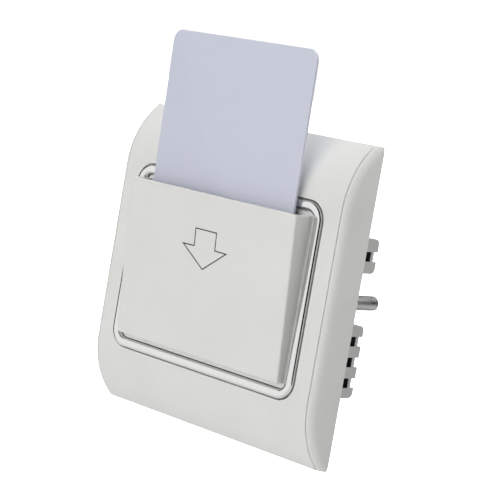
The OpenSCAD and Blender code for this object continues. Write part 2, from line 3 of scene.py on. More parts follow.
import bmesh
import bpy
import numpy as np
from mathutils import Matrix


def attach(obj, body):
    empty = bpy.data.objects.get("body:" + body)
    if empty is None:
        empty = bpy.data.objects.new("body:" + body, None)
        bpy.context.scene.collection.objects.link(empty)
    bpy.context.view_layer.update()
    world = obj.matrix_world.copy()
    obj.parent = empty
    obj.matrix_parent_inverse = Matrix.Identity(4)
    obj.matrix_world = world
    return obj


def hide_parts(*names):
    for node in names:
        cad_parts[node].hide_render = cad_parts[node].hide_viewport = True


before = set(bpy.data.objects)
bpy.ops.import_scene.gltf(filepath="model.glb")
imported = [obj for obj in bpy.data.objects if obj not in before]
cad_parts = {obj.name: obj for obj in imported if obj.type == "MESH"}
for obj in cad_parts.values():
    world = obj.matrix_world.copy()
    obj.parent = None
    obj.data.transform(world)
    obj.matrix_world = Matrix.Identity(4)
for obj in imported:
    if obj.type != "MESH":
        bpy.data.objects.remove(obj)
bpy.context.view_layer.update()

# Camera at the photograph's viewing angle: a long lens from the front right, a little above the middle,
# with the roll that makes the plate lean to the right in the picture.
camera_lens = 127.42
camera_place = (0.332483, -0.352035, 0.053684)
camera_turn = (84.56236, -9.81263, 44.10473)
camera = bpy.data.objects.new("camera", bpy.data.cameras.new("camera"))
camera.data.lens = camera_lens
camera.data.sensor_width = 36
camera.data.clip_start = 0.01
camera.location = camera_place
camera.rotation_euler = [math.radians(a) for a in camera_turn]
bpy.context.scene.collection.objects.link(camera)
bpy.context.scene.camera = camera

# Floor: a pale table far below the plate, which hangs on a wall in use. It only returns soft light from below.
floor_z, floor_reach, floor_tone = -0.13, 30.0, 0.57
reach = np.array([-floor_reach, floor_reach])
floor_x, floor_y = np.meshgrid(reach, reach, indexing="ij")
floor_points = np.stack([floor_x, floor_y, np.full_like(floor_x, floor_z)], -1).reshape(-1, 3)
floor_mesh = bpy.data.meshes.new("floor")
floor_mesh.from_pydata(floor_points.tolist(), [], [(0, 2, 3, 1)])
floor = bpy.data.objects.new("floor", floor_mesh)
bpy.context.scene.collection.objects.link(floor)
floor_paper = bpy.data.materials.new("floor_paper")
floor_paper.use_nodes = True
floor_shader = floor_paper.node_tree.nodes["Principled BSDF"]
floor_shader.inputs["Base Color"].default_value = (floor_tone, floor_tone, floor_tone, 1)
floor_shader.inputs["Roughness"].default_value = 0.9
floor_shader.inputs["Emission Color"].default_value = (1, 1, 1, 1)
floor_view = floor_paper.node_tree.nodes.new("ShaderNodeLightPath").outputs["Is Camera Ray"]
floor_paper.node_tree.links.new(floor_view, floor_shader.inputs["Emission Strength"])
floor.data.materials.append(floor_paper)
floor.visible_glossy = False

# Light: a plain white studio. One soft light stands in front, one hangs high behind, and a pale wall is lit behind.
# What shines sees a white screen at the front left, a strip high behind and the room's pale foot, with the dark
# between them. The picture's own background is white.
background_white = 1.05
world = bpy.data.worlds.new("studio")
world.use_nodes = True
bpy.context.scene.world = world
sky = world.node_tree.nodes
sky_link = world.node_tree.links.new
direction = sky.new("ShaderNodeTexCoord").outputs["Generated"]
ray = sky.new("ShaderNodeLightPath").outputs


def soft_light(toward, begin, full, low, high):
    """Brightness that rises smoothly from low to high with the cosine of the angle to where the light stands."""
    dot = sky.new("ShaderNodeVectorMath")
    dot.operation = "DOT_PRODUCT"
    dot.inputs[1].default_value = np.array(toward) / np.linalg.norm(toward)
    sky_link(direction, dot.inputs[0])
    fade = sky.new("ShaderNodeMapRange")
    fade.interpolation_type = "SMOOTHSTEP"
    fade.inputs["From Min"].default_value = begin
    fade.inputs["From Max"].default_value = full
    fade.inputs["To Min"].default_value = low
    fade.inputs["To Max"].default_value = high
    sky_link(dot.outputs["Value"], fade.inputs["Value"])
    return fade.outputs["Result"]


def choice(rays):
    """A choice of two brightnesses: the second for one kind of ray and the first for the others."""
    mix = sky.new("ShaderNodeMix")
    sky_link(rays, mix.inputs["Factor"])
    return mix


def combined(first, operation, second):
    """One value from two: the sum of two lights, the larger one, a light times what dims it, or a comparison."""
    both = sky.new("ShaderNodeMath")
    both.operation = operation
    sky_link(first, both.inputs[0])
    sky_link(second, both.inputs[1])
    return both.outputs["Value"]


in_front = soft_light((0.0, -1.0, 0.16), 0.75, 0.98, 0.0, 3.26)
high_behind = soft_light((-0.1, 0.38, 0.92), 0.5, 0.95, 0.0, 2.13)
pale_wall = soft_light((0.0, 1.0, 0.1), 0.1, 0.6, 0.0, 0.78)
soft_lights = combined(combined(in_front, "ADD", high_behind), "ADD", pale_wall)
white_screen = soft_light((-0.53, -0.85, 0.0), 0.53, 0.62, 0.0, 0.92)
screen_end = soft_light((1.0, 0.0, 0.0), -0.84, -0.78, 0.0, 1.0)
screen_foot = soft_light((0.0, 0.0, 1.0), -0.8, -0.2, 0.6, 1.0)
screen = combined(combined(white_screen, "MULTIPLY", screen_end), "MULTIPLY", screen_foot)
rear_strip = soft_light((0.0, 0.7, 0.7), 0.82, 0.92, 0.0, 0.9)
pale_foot = soft_light((0.0, -0.3, -1.0), 0.3, 0.5, 0.0, 0.72)
reflected = combined(combined(screen, "ADD", rear_strip), "MAXIMUM", pale_foot)
glow = choice(combined(ray["Is Glossy Ray"], "GREATER_THAN", ray["Diffuse Depth"]))
sky_link(soft_lights, glow.inputs["A"])
sky_link(reflected, glow.inputs["B"])
picture = choice(ray["Is Camera Ray"])
sky_link(glow.outputs["Result"], picture.inputs["A"])
picture.inputs["B"].default_value = background_white
sky_link(picture.outputs["Result"], sky["Background"].inputs["Strength"])
sky["Background"].inputs["Color"].default_value = (1, 1, 1, 1)
bpy.context.scene.view_settings.view_transform = "Standard"

# Mounting frame: one white moulding against the wall. Its flat web carries the housing and the wall screws, and its
# rounded cheeks close the two sides of the plate. The mould leaves every edge slightly round.
mm = 0.001


def mottle(material, scale, low, high, detail=3.0):
    """A value that drifts over the surface between low and high, with spots of about one over the scale in metres."""
    noise_low, noise_high = 0.2, 0.8
    tree = material.node_tree
    noise = tree.nodes.new("ShaderNodeTexNoise")
    noise.inputs["Scale"].default_value = scale
    noise.inputs["Detail"].default_value = detail
    tree.links.new(tree.nodes["place"].outputs["Object"], noise.inputs["Vector"])
    spread = tree.nodes.new("ShaderNodeMapRange")
    spread.inputs["From Min"].default_value = noise_low
    spread.inputs["From Max"].default_value = noise_high
    spread.inputs["To Min"].default_value = low
    spread.inputs["To Max"].default_value = high
    tree.links.new(noise.outputs["Fac"], spread.inputs["Value"])
    return spread.outputs["Result"]


def tint(material, dark, light, factor):
    """A colour between two tones, by a factor from nought to one."""
    mix = material.node_tree.nodes.new("ShaderNodeMix")
    mix.data_type = "RGBA"
    mix.inputs["A"].default_value = (*dark, 1)
    mix.inputs["B"].default_value = (*light, 1)
    material.node_tree.links.new(factor, mix.inputs["Factor"])
    return mix.outputs["Result"]


def bare_material(name):
    """A material with its shader and a node for the place on the object."""
    material = bpy.data.materials.new(name)
    material.use_nodes = True
    nodes = material.node_tree.nodes
    place = nodes.new("ShaderNodeTexCoord")
    place.name = "place"
    return material, nodes["Principled BSDF"].inputs


def rough_grain(material, height, depth):
    """Fine unevenness of a surface: a height pattern of the given depth in metres."""
    tree = material.node_tree
    bump = tree.nodes.new("ShaderNodeBump")
    bump.inputs["Strength"].default_value = 1.0
    bump.inputs["Distance"].default_value = depth
    tree.links.new(height, bump.inputs["Height"])
    tree.links.new(bump.outputs["Normal"], tree.nodes["Principled BSDF"].inputs["Normal"])


def moulded_plastic(name, colour, rough, spread=0.03, grain=2200.0, depth=0.000004, gloss_spread=0.05):
    """Moulded plastic: a faint drift of colour, a satin that varies in gloss, a fine eroded grain from the mould, and
    edges, where the piece has them marked, that are rubbed a little lighter and smoother."""
    colour_spots, gloss_spots, rub_light, rub_polish = 55.0, 140.0, 1.05, 0.08
    material, shader = bare_material(name)
    tree = material.node_tree
    drift = mottle(material, colour_spots, 0.0, 1.0)
    dark = [c * (1 - spread) for c in colour]
    light = [min(1.0, c * (1 + spread)) for c in colour]
    edge = tree.nodes.new("ShaderNodeAttribute")
    edge.attribute_name = "edge"
    rubbed = tree.nodes.new("ShaderNodeMix")
    rubbed.data_type = "RGBA"
    tree.links.new(edge.outputs["Fac"], rubbed.inputs["Factor"])
    tree.links.new(tint(material, dark, light, drift), rubbed.inputs["A"])
    rubbed.inputs["B"].default_value = (*[min(1.0, c * rub_light) for c in colour], 1)
    tree.links.new(rubbed.outputs["Result"], shader["Base Color"])
    gloss = tree.nodes.new("ShaderNodeMath")
    gloss.operation = "MULTIPLY_ADD"
    gloss.inputs[1].default_value = -rub_polish
    tree.links.new(edge.outputs["Fac"], gloss.inputs[0])
    satin = mottle(material, gloss_spots, rough - gloss_spread, rough + gloss_spread)
    tree.links.new(satin, gloss.inputs[2])
    tree.links.new(gloss.outputs["Value"], shader["Roughness"])
    shader["IOR"].default_value = 1.49
    rough_grain(material, mottle(material, grain, 0.0, 1.0, 1.0), depth)
    return material


def put_in_scene(name, mesh, material, slot, body, *nodes):
    """A finished piece: its object at the origin, riding on a body and standing for CAD nodes."""
    piece = bpy.data.objects.new(name, mesh)
    bpy.context.scene.collection.objects.link(piece)
    mesh.materials.clear()
    mesh.materials.append(material)
    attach(piece, body)
    if nodes:
        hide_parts(*nodes)
    return piece


def eased_copy(name, node, width, material, slot, body):
    """A node's own form with its edges rounded: the triangles are merged, flat faces joined, and each edge that
    turns by more than 30 degrees gets a round of the given width."""
    weld, flat, edge_turn = 0.002 * mm, math.radians(1.0), math.radians(30)
    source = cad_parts[node].data
    corners = np.empty(len(source.vertices) * 3)
    source.vertices.foreach_get("co", corners)
    source.calc_loop_triangles()
    triangles = np.empty(len(source.loop_triangles) * 3, dtype=int)
    source.loop_triangles.foreach_get("vertices", triangles)
    mesh = bpy.data.meshes.new(name)
    mesh.from_pydata(corners.reshape(-1, 3).tolist(), [], triangles.reshape(-1, 3).tolist())
    shape = bmesh.new()
    shape.from_mesh(mesh)
    bmesh.ops.remove_doubles(shape, verts=shape.verts, dist=weld)
    bmesh.ops.dissolve_limit(shape, angle_limit=flat, verts=shape.verts, edges=shape.edges)
    shape.to_mesh(mesh)
    shape.free()
    mesh.shade_smooth()
    mesh.set_sharp_from_angle(angle=edge_turn)
    piece = put_in_scene(name, mesh, material, slot, body, node)
    ease = piece.modifiers.new("eased", "BEVEL")
    ease.width = width
    ease.segments = 2
    ease.limit_method = "ANGLE"
    ease.angle_limit = edge_turn
    ease.harden_normals = True


frame_ease = 0.12 * mm
white_plastic = moulded_plastic("white_plastic", (0.72, 0.72, 0.698), 0.36)
eased_copy("wall_frame", "mounting_frame", frame_ease, white_plastic, "white_plastic", "switch_body")

# Rear housing: a light grey moulded box that goes into the wall box, with vent slots through its ribbed pads and a
# channel for the wires. Four columns inside take the board screws. Its closed rooms behind the vents carry painted
# shade:
# their inside is coloured near black in the material.
grey_looks = {"colour": (0.53, 0.53, 0.52), "rough": 0.5, "spread": 0.04, "grain": 1500.0, "depth": 0.000008}
grey_plastic = moulded_plastic("grey_plastic", **grey_looks)
grey_painted_shade = moulded_plastic("grey_painted_shade", **grey_looks)
# Painted shade: the box of the housing's closed rooms, and the near-black colour painted inside it in place of the
# shade there.
lower_room, upper_room = (-25.0 * mm, -8.4 * mm), (9.7 * mm, 15.7 * mm)
room_half, room_front, room_back, housing_ease = 28.75 * mm, 6.0 * mm, 19.12 * mm, 0.15 * mm
painted_shade_colour = (0.03, 0.03, 0.03, 1)
soft_x, soft_y, soft_z = 0.15 * mm, 0.05 * mm, 0.1 * mm


def between(material, value, low, high, soft):
    """One where a value lies between low and high, fading to nought over the soft margin outside."""
    tree = material.node_tree
    off = tree.nodes.new("ShaderNodeMath")
    off.operation = "SUBTRACT"
    off.inputs[1].default_value = (low + high) / 2
    tree.links.new(value, off.inputs[0])
    far = tree.nodes.new("ShaderNodeMath")
    far.operation = "ABSOLUTE"
    tree.links.new(off.outputs["Value"], far.inputs[0])
    fade = tree.nodes.new("ShaderNodeMapRange")
    fade.inputs["From Min"].default_value = (high - low) / 2 + soft
    fade.inputs["From Max"].default_value = (high - low) / 2
    tree.links.new(far.outputs["Value"], fade.inputs["Value"])
    return fade.outputs["Result"]


def one_of_two(material, operation, a, b):
    """One value from two: their product, or the larger one."""
    math_node = material.node_tree.nodes.new("ShaderNodeMath")
    math_node.operation = operation
    material.node_tree.links.new(a, math_node.inputs[0])
    material.node_tree.links.new(b, math_node.inputs[1])
    return math_node.outputs["Value"]


tree = grey_painted_shade.node_tree
axes = tree.nodes.new("ShaderNodeSeparateXYZ")
tree.links.new(tree.nodes["place"].outputs["Object"], axes.inputs["Vector"])
rooms = one_of_two(grey_painted_shade, "MAXIMUM",
                   between(grey_painted_shade, axes.outputs["Z"], *lower_room, soft_z),
                   between(grey_painted_shade, axes.outputs["Z"], *upper_room, soft_z))
inside = one_of_two(grey_painted_shade, "MULTIPLY",
                    between(grey_painted_shade, axes.outputs["X"], -room_half, room_half, soft_x),
                    between(grey_painted_shade, axes.outputs["Y"], room_front, room_back, soft_y))
# Painted shade: near black is mixed into the grey wherever a point lies inside one of the closed rooms behind the
# vents.
shade_mix = tree.nodes.new("ShaderNodeMix")
shade_mix.data_type = "RGBA"
shade_mix.inputs["B"].default_value = painted_shade_colour
tree.links.new(one_of_two(grey_painted_shade, "MULTIPLY", rooms, inside), shade_mix.inputs["Factor"])
base_colour = tree.nodes["Principled BSDF"].inputs["Base Color"]
tree.links.new(base_colour.links[0].from_socket, shade_mix.inputs["A"])
tree.links.new(shade_mix.outputs["Result"], base_colour)
eased_copy("vented_housing", "rear_housing", housing_ease, grey_painted_shade, "grey_plastic", "switch_body")


# Inner cover and board spacers: plain mouldings in the housing's grey plastic. The cover closes the housing's front,
# and the spacers hold the two boards apart.
def carry_over(material, *nodes):
    """Gives CAD nodes whose shape is right their finished material."""
    for node in nodes:
        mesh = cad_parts[node].data
        mesh.materials.clear()
        mesh.materials.append(material)


carry_over(grey_plastic, "inner_cover", "board_spacers")

# Boards: two sheets of glass laminate under green solder mask, whose copper tracks show through it. The reader's board
# is in front and the power board behind, screwed together to the housing's columns.
mask_dark, mask_light = (0.012, 0.10, 0.035, 1), (0.016, 0.13, 0.045, 1)
track_colour, track_scale, track_gap = (0.03, 0.20, 0.07, 1), 140.0, 0.03
solder_mask, mask = bare_material("solder_mask")
mask_link = solder_mask.node_tree.links.new
tracks = solder_mask.node_tree.nodes.new("ShaderNodeTexBrick")
tracks.inputs["Scale"].default_value = track_scale
tracks.inputs["Color1"].default_value = mask_dark
tracks.inputs["Color2"].default_value = mask_light
tracks.inputs["Mortar"].default_value = track_colour
tracks.inputs["Mortar Size"].default_value = track_gap
turn = solder_mask.node_tree.nodes.new("ShaderNodeMapping")
turn.inputs["Rotation"].default_value = (math.radians(90), 0, 0)
mask_link(solder_mask.node_tree.nodes["place"].outputs["Object"], turn.inputs["Vector"])
mask_link(turn.outputs["Vector"], tracks.inputs["Vector"])
mask_link(tracks.outputs["Color"], mask["Base Color"])
mask_link(mottle(solder_mask, 300.0, 0.22, 0.38), mask["Roughness"])
rough_grain(solder_mask, tracks.outputs["Fac"], 0.00003)
carry_over(solder_mask, "reader_board", "power_board")

# Cased parts on the boards: chips, header, relay, capacitors and varistor in black, blue and yellow plastic, and the
# small status lights with their pale lenses. They are bought parts, soldered in.
black_plastic = moulded_plastic("black_plastic", (0.018, 0.018, 0.02), 0.45, 0.15, 1800.0)
carry_over(black_plastic, "reader_chips", "header_block", "relay_base", "smoothing_capacitor")
blue_plastic = moulded_plastic("blue_plastic", (0.03, 0.075, 0.21), 0.33, 0.06)
carry_over(blue_plastic, "relay_cover", "varistor")
yellow_plastic = moulded_plastic("yellow_plastic", (0.56, 0.33, 0.02), 0.35, 0.05)
carry_over(yellow_plastic, "film_capacitor")
led_lens = moulded_plastic("led_lens", (0.55, 0.68, 0.85), 0.12, 0.03)
carry_over(led_lens, "status_leds")


# Metal inside: the antenna's and the relay's copper wire, the pins, contacts, tunnels and shoes of stamped brass, and
# the relay's iron, fuse and small screws in zinc-plated steel.
def plated_metal(name, colour, rough, spread, grain, depth):
    """Bare or plated metal: colour and gloss drift in spots, and fine marks of turning or rolling cover it."""
    colour_spots, gloss_spots, gloss_share = 260.0, 420.0, 0.25
    material, shader = bare_material(name)
    link = material.node_tree.links.new
    dark = [c * (1 - spread) for c in colour]
    link(tint(material, dark, colour, mottle(material, colour_spots, 0.0, 1.0)), shader["Base Color"])
    polish = mottle(material, gloss_spots, rough * (1 - gloss_share), rough * (1 + gloss_share))
    link(polish, shader["Roughness"])
    shader["Metallic"].default_value = 1.0
    rough_grain(material, mottle(material, grain, 0.0, 1.0, 4.0), depth)
    return material


copper_wire = plated_metal("copper_wire", (0.72, 0.30, 0.13), 0.3, 0.12, 3000.0, 0.00001)
carry_over(copper_wire, "antenna_coil", "relay_coil")
brass = plated_metal("brass", (0.78, 0.56, 0.22), 0.28, 0.1, 2400.0, 0.000006)
carry_over(brass, "header_pins", "relay_contacts", "terminal_tunnels")
carry_over(brass, "clamp_shoe_1", "clamp_shoe_2", "clamp_shoe_3", "clamp_shoe_4")
zinc_steel = plated_metal("zinc_steel", (0.62, 0.63, 0.64), 0.3, 0.14, 2600.0, 0.000006)
carry_over(zinc_steel, "relay_yoke", "relay_armature", "fuse", "board_screws", "frame_screws")

# Terminal block: a green moulded body in the housing's channel that holds four brass tunnels. Wires enter from above,
# and the clamp screws are turned from behind.
block_ease = 0.12 * mm
green_plastic = moulded_plastic("green_plastic", (0.05, 0.2, 0.09), 0.42, 0.05)
eased_copy("terminal_body", "terminal_block", block_ease, green_plastic, "green_plastic", "switch_body")

# Clamp screws: four slotted grub screws of zinc-plated steel, turned from the back to press a shoe on each wire.
# Their threads are rolled, and the slot is sawn across the end.
clamp_r, clamp_tip, clamp_end, clamp_z, clamp_pitch = 1.75, 14.8, 21.1, -2.6, 0.6
slot_half, slot_depth, slot_chamfer = 0.3, 0.9, 0.3
end_inset, end_sunk, rod_over = 0.1, 0.05, 0.1
pole_count, pole_pitch = 4, 11.6


def shell(rows, around=True, along=False, caps=False, mark=0.0):
    """Surface over a grid of points in millimetres: each row is one section and each quad joins neighbours in two
    rows. It may close around each row, along from the last row to the first, or with a flat cap at each end."""
    rows = np.asarray(rows, dtype=float)
    count, size = rows.shape[:2]
    index = np.arange(count * size).reshape(count, size)
    if around:
        index = np.concatenate([index, index[:, :1]], 1)
    if along:
        index = np.concatenate([index, index[:1]], 0)
    quads = np.stack([index[:-1, :-1], index[:-1, 1:], index[1:, 1:], index[1:, :-1]], -1).reshape(-1, 4)
    ends = [index[0, :size][::-1], index[-1, :size]] if caps else []
    marks = np.broadcast_to(np.asarray(mark, dtype=float).reshape(-1, 1), (count, size))
    return rows.reshape(-1, 3), quads, ends, marks.reshape(-1)


def mesh_of(name, *shells):
    """One mesh from closed shells: all faces point outwards, shading is smooth except across sharp edges, and the
    mark of each point, one on a rubbed edge and nought elsewhere, is kept with it."""
    sharp_turn = math.radians(35)
    points, quads, ends, marks = zip(*shells)
    starts = np.cumsum([0] + [len(p) for p in points])
    faces = []
    for start, four_sided, many_sided in zip(starts, quads, ends):
        faces += (four_sided + start).tolist() + [(end + start).tolist() for end in many_sided]
    mesh = bpy.data.meshes.new(name)
    mesh.from_pydata((np.concatenate(points) * mm).tolist(), [], faces)
    shape = bmesh.new()
    shape.from_mesh(mesh)
    bmesh.ops.recalc_face_normals(shape, faces=shape.faces)
    shape.to_mesh(mesh)
    shape.free()
    mesh.attributes.new("edge", "FLOAT", "POINT").data.foreach_set("value", np.concatenate(marks))
    mesh.shade_smooth()
    mesh.set_sharp_from_angle(angle=sharp_turn)
    return mesh


def threaded_rod(x, z, r, y0, y1, pitch):
    """A rolled thread along Y. Its radius at turn a and depth y falls below r by a triangle wave of y / pitch + a,
    0.6 of the pitch deep with flat crests and roots, and the rod's ends are chamfered."""
    depth, flat, chamfer, around, per_turn = 0.6 * pitch, 0.15, 0.5, 40, 10
    y = np.linspace(y0, y1, int((y1 - y0) / pitch * per_turn) + 1)[:, None]
    a = np.linspace(0, 1, around, endpoint=False)[None, :]
    wave = np.abs((y / pitch + a) % 1.0 * 2 - 1)
    radius = r - depth * np.clip(wave * (1 + 2 * flat) - flat, 0, 1)
    end = np.minimum(y - y0, y1 - y)
    radius = np.minimum(radius, r - chamfer + end)
    turn_x, turn_z = np.cos(2 * np.pi * a), np.sin(2 * np.pi * a)
    return shell(np.stack([x + radius * turn_x, y + 0 * a, z + radius * turn_z], -1), caps=True)


def slotted_end(x, z, r, y0, y1, half_slot, side):
    """One half of a slotted end: the part of a disc beyond the slot, carried from y0 to y1 with a small chamfer."""
    def row(radius, y):
        span = np.linspace(-1, 1, 21) * math.acos(half_slot / radius)
        return np.stack([x + side * radius * np.cos(span), np.full_like(span, y), z + radius * np.sin(span)], -1)

    return shell([row(r, y0), row(r, y1 - slot_chamfer), row(r - slot_chamfer, y1)], caps=True)


for pole in range(pole_count):
    pole_x = (pole - (pole_count - 1) / 2) * pole_pitch
    low = clamp_end - slot_depth
    body = f"clamp_screw_{pole + 1}"
    mesh = mesh_of(
        f"grub_screw_{pole + 1}",
        threaded_rod(pole_x, clamp_z, clamp_r, clamp_tip, low + rod_over, clamp_pitch),
        slotted_end(pole_x, clamp_z, clamp_r - end_inset, low - end_sunk, clamp_end, slot_half, 1),
        slotted_end(pole_x, clamp_z, clamp_r - end_inset, low - end_sunk, clamp_end, slot_half, -1),
    )
    put_in_scene(mesh.name, mesh, zinc_steel, "zinc_steel", body, body)

# Wall screws: two zinc-plated machine screws that go through the frame's web into the wall box's posts. Only their
# threaded ends show, in the housing's side notches. The pan heads are behind the panel.
wall_screw_x, wall_screw_r, wall_screw_end, wall_screw_pitch = 30.15, 2.0, 22.6, 0.7
head_r, head_front, head_back, neck_r, neck_end = 4.0, -4.8, -2.4, 1.6, 0.1
recess_half, recess_slope, recess_reach, recess_end, recess_depth = 0.62, 0.2, 0.58, 0.3, 1.3


def pan_head(x, z, r, y0, y1, neck, neck_end):
    """A pan head with a cross recess: a turned profile from the neck over the rim to the crown, whose crown sinks
    where a point is close to either arm of the cross."""
    rim, centre, crown_share, rings = 0.1, 0.1, 0.45, 28
    a = np.linspace(0, 2 * np.pi, 64, endpoint=False)[None, :]
    radius = np.concatenate([[neck, neck, r - rim, r], np.linspace(r, centre, rings)])[:, None]
    crown = y0 + (y1 - y0) * crown_share * np.linspace(1, 0.004, rings) ** 3
    y = np.concatenate([[neck_end, y1, y1, y1 - rim], crown])[:, None]
    near = np.minimum(np.abs(radius * np.cos(a)), np.abs(radius * np.sin(a)))
    sunk = np.clip((recess_half - near) / recess_slope, 0, 1)
    sunk = sunk * np.clip((recess_reach * r - radius) / recess_end, 0, 1)
    sunk[:-rings] = 0
    y = y + recess_depth * sunk
    return shell(np.stack([x + radius * np.cos(a), y, z + radius * np.sin(a)], -1), caps=True)


mesh = mesh_of("wall_screw_pair", *[
    part
    for x in (-wall_screw_x, wall_screw_x)
    for part in (pan_head(x, 0, head_r, head_front, head_back, neck_r, neck_end),
                 threaded_rod(x, 0, wall_screw_r, 0.0, wall_screw_end, wall_screw_pitch))
])
put_in_scene(mesh.name, mesh, zinc_steel, "zinc_steel", "switch_body", "wall_screws")

# Card pocket: one white moulding. A flange behind the panel and a raised centre inside the ring carry the pocket,
# whose front wall leans out to its lip. A small fillet runs along its sides, and ribs inside steady the card.
lip_z, pocket_floor, pocket_half, pocket_wall, pocket_back = 22.3, -21.0, 31.65, 1.2, -9.4
front_lean, foot_front, foot_round, side_round, lip_round, inner_round = 0.0878, -12.9, 0.4, 0.5, 0.35, 0.3
guide_z, guide_half, guide_slope, side_fillet = 12.0, 27.4, 0.3, 0.55
round_y, round_z = -12.4546, -21.5
pocket_bottom = round_z - foot_round
centre_half_x, centre_half_z, centre_corner, centre_front, centre_back = 32.3, 23.45, 2.2, -9.9, -7.9
flange_half_x, flange_half_z, flange_corner, flange_front, flange_back = 36.0, 29.0, 0.6, -8.0, -6.8
pocket_ease = 0.2


def pocket_front(z):
    """Depth of the pocket's front at a height: a leaning straight line with a quarter round at the foot."""
    line = foot_front - (z - pocket_floor) * front_lean
    drop = np.clip(round_z - z, 0, foot_round)
    foot = round_y - np.sqrt(foot_round ** 2 - drop ** 2)
    return np.where(z < round_z, np.maximum(line, foot), line)


def pocket_row(z, half, front, corner):
    """One level of the pocket's wall, from the back of its left side round the front to the back of its right. Each
    side flares at its back along a quarter circle."""
    corner = min(corner, max(pocket_back - front, 0.0) * 0.9)
    turn = np.linspace(0, np.pi / 2, 9)
    left = np.stack([-half + corner * (1 - np.cos(turn)), front + corner * (1 - np.sin(turn))], -1)
    right = left[::-1] * [-1, 1]
    side = np.linspace(0, 1, 14)[:-1, None] ** 1.5
    left_side = np.array([[-half, pocket_back]]) * (1 - side) + left[:1] * side
    into = np.clip((left_side[:, 1] - centre_front) / side_fillet + 1, 0, 1)
    left_side[:, 0] -= side_fillet * (1 - np.sqrt(1 - into ** 2))
    middle = np.linspace(left[-1], right[0], 30)[1:-1]
    plan = np.concatenate([left_side, left, middle, right, left_side[::-1] * [-1, 1]])
    return np.stack([plan[:, 0], plan[:, 1], np.full(len(plan), z)], -1)


def pocket_wall_shell():
    """The pocket's wall as levels that run up the outside from its foot, over the lip and down the inside, with a flat
    face under the foot, on the floor and at the back."""
    rows, marks = [], []

    def add(z, half, front, corner, mark=0.0):
        rows.append(pocket_row(z, half, float(front), corner))
        marks.append(mark)

    under = 0.3
    add(pocket_bottom, pocket_half - under, round_y, side_round)
    swing = np.linspace(0, np.pi / 2, 12)[1:]
    for z in round_z - foot_round * np.cos(swing):
        rise = min(z - pocket_bottom, under)
        add(z, pocket_half - under + math.sqrt(under ** 2 - (under - rise) ** 2), pocket_front(z), side_round, 0.5)
    for z in np.linspace(pocket_floor, lip_z - lip_round, 16):
        add(z, pocket_half, pocket_front(z), side_round)
    for a in np.linspace(0, np.pi / 2, 6)[1:]:
        inward = lip_round * (1 - math.cos(a))
        z = lip_z - lip_round + lip_round * math.sin(a)
        add(z, pocket_half - inward, pocket_front(z) + inward, side_round - inward, 1.0)
    for a in np.linspace(0, np.pi / 2, 6):
        inward = pocket_wall - lip_round + lip_round * math.sin(a)
        z = lip_z - lip_round + lip_round * math.cos(a)
        add(z, pocket_half - inward, pocket_front(z) + inward, inner_round, 1.0)
    for z in np.linspace(lip_z - lip_round - 0.1, guide_z, 8):
        add(z, pocket_half - pocket_wall, pocket_front(z) + pocket_wall, inner_round)
    for z in np.linspace(guide_z - guide_slope, pocket_floor, 12):
        add(z, guide_half, pocket_front(z) + pocket_wall, inner_round)
    points, quads, _, mark = shell(rows, around=False, mark=marks)
    grid = np.arange(len(points)).reshape(len(rows), -1)
    rim = np.concatenate([grid[:, 0], grid[::-1, -1]])
    return points, quads, [rim, grid[0, ::-1], grid[-1]], mark


def rounded_loop(half_x, half_z, r, corner=8, straight=10):
    """Points around a rectangle with round corners: on each corner an arc of radius r, on each side a straight run."""
    quarter = np.arange(4)[:, None]
    a = (quarter + np.linspace(0, 1, corner + 1)) * np.pi / 2
    sign_x, sign_z = np.array([[1], [-1], [-1], [1]]), np.array([[1], [1], [-1], [-1]])
    arc = np.stack([sign_x * (half_x - r) + r * np.cos(a), sign_z * (half_z - r) + r * np.sin(a)], -1)
    step = (np.arange(1, straight + 1) / (straight + 1))[None, :, None]
    run = arc[:, -1:] * (1 - step) + np.roll(arc[:, :1], -1, axis=0) * step
    return np.concatenate([arc, run], 1).reshape(-1, 2)


def rounded_plate(half_x, half_z, r, front, back, ease):
    """A plate with round corners and a rounded front edge: its outline carried from back to front, drawn in along a
    quarter circle at the end."""
    a = np.linspace(0, np.pi / 2, 6)
    inset = np.concatenate([[0], ease * (1 - np.cos(a))])
    depth = np.concatenate([[back], front + ease - ease * np.sin(a)])
    rows = [np.insert(rounded_loop(half_x - i, half_z - i, r - i), 1, y, axis=1) for i, y in zip(inset, depth)]
    return shell(rows, caps=True, mark=[0] + [1] * len(a))


def ridge(x0, x1, outline):
    """A rib or lug: an outline in Y and Z carried across X."""
    outline = np.array(outline, dtype=float)
    rows = [np.insert(outline, 0, x, axis=1) for x in (x0, x1)]
    return shell(rows, caps=True)


card_foot_y, card_foot_z, card_lean = -11.15, -20.95, math.radians(1.55)
card_thick, card_clear = 0.76, 0.25
rib_x, rib_half, rib_lead, rib_sunk = 16, 0.75, 3.0, 0.6
front_rib_top, front_rib_end, back_rib_top, back_rib_end = 18.0, -10.0, 19.0, -21.1


def card_middle(z):
    """Depth of the card's middle plane at a height."""
    return card_foot_y - (z - card_foot_z) * math.tan(card_lean)


hold = card_thick / 2 + card_clear
front_touch, back_touch = front_rib_top - rib_lead, back_rib_top - rib_lead
front_rib = [[pocket_front(front_rib_top) + rib_sunk, front_rib_top],
             [card_middle(front_touch) - hold, front_touch],
             [card_middle(front_rib_end) - hold, front_rib_end],
             [pocket_front(front_rib_end) + rib_sunk, front_rib_end]]
back_rib = [[pocket_back, back_rib_top],
            [centre_front, back_rib_top],
            [card_middle(back_touch) + hold, back_touch],
            [card_middle(pocket_floor) + hold, back_rib_end],
            [pocket_back, back_rib_end]]
mesh = mesh_of(
    "pocket_moulding",
    pocket_wall_shell(),
    rounded_plate(centre_half_x, centre_half_z, centre_corner, centre_front, centre_back, pocket_ease),
    rounded_plate(flange_half_x, flange_half_z, flange_corner, flange_front, flange_back, pocket_ease),
    *[ridge(x - rib_half, x + rib_half, rib) for x in (-rib_x, rib_x) for rib in (front_rib, back_rib)],
)
put_in_scene(mesh.name, mesh, white_plastic, "white_plastic", "switch_body", "card_pocket")

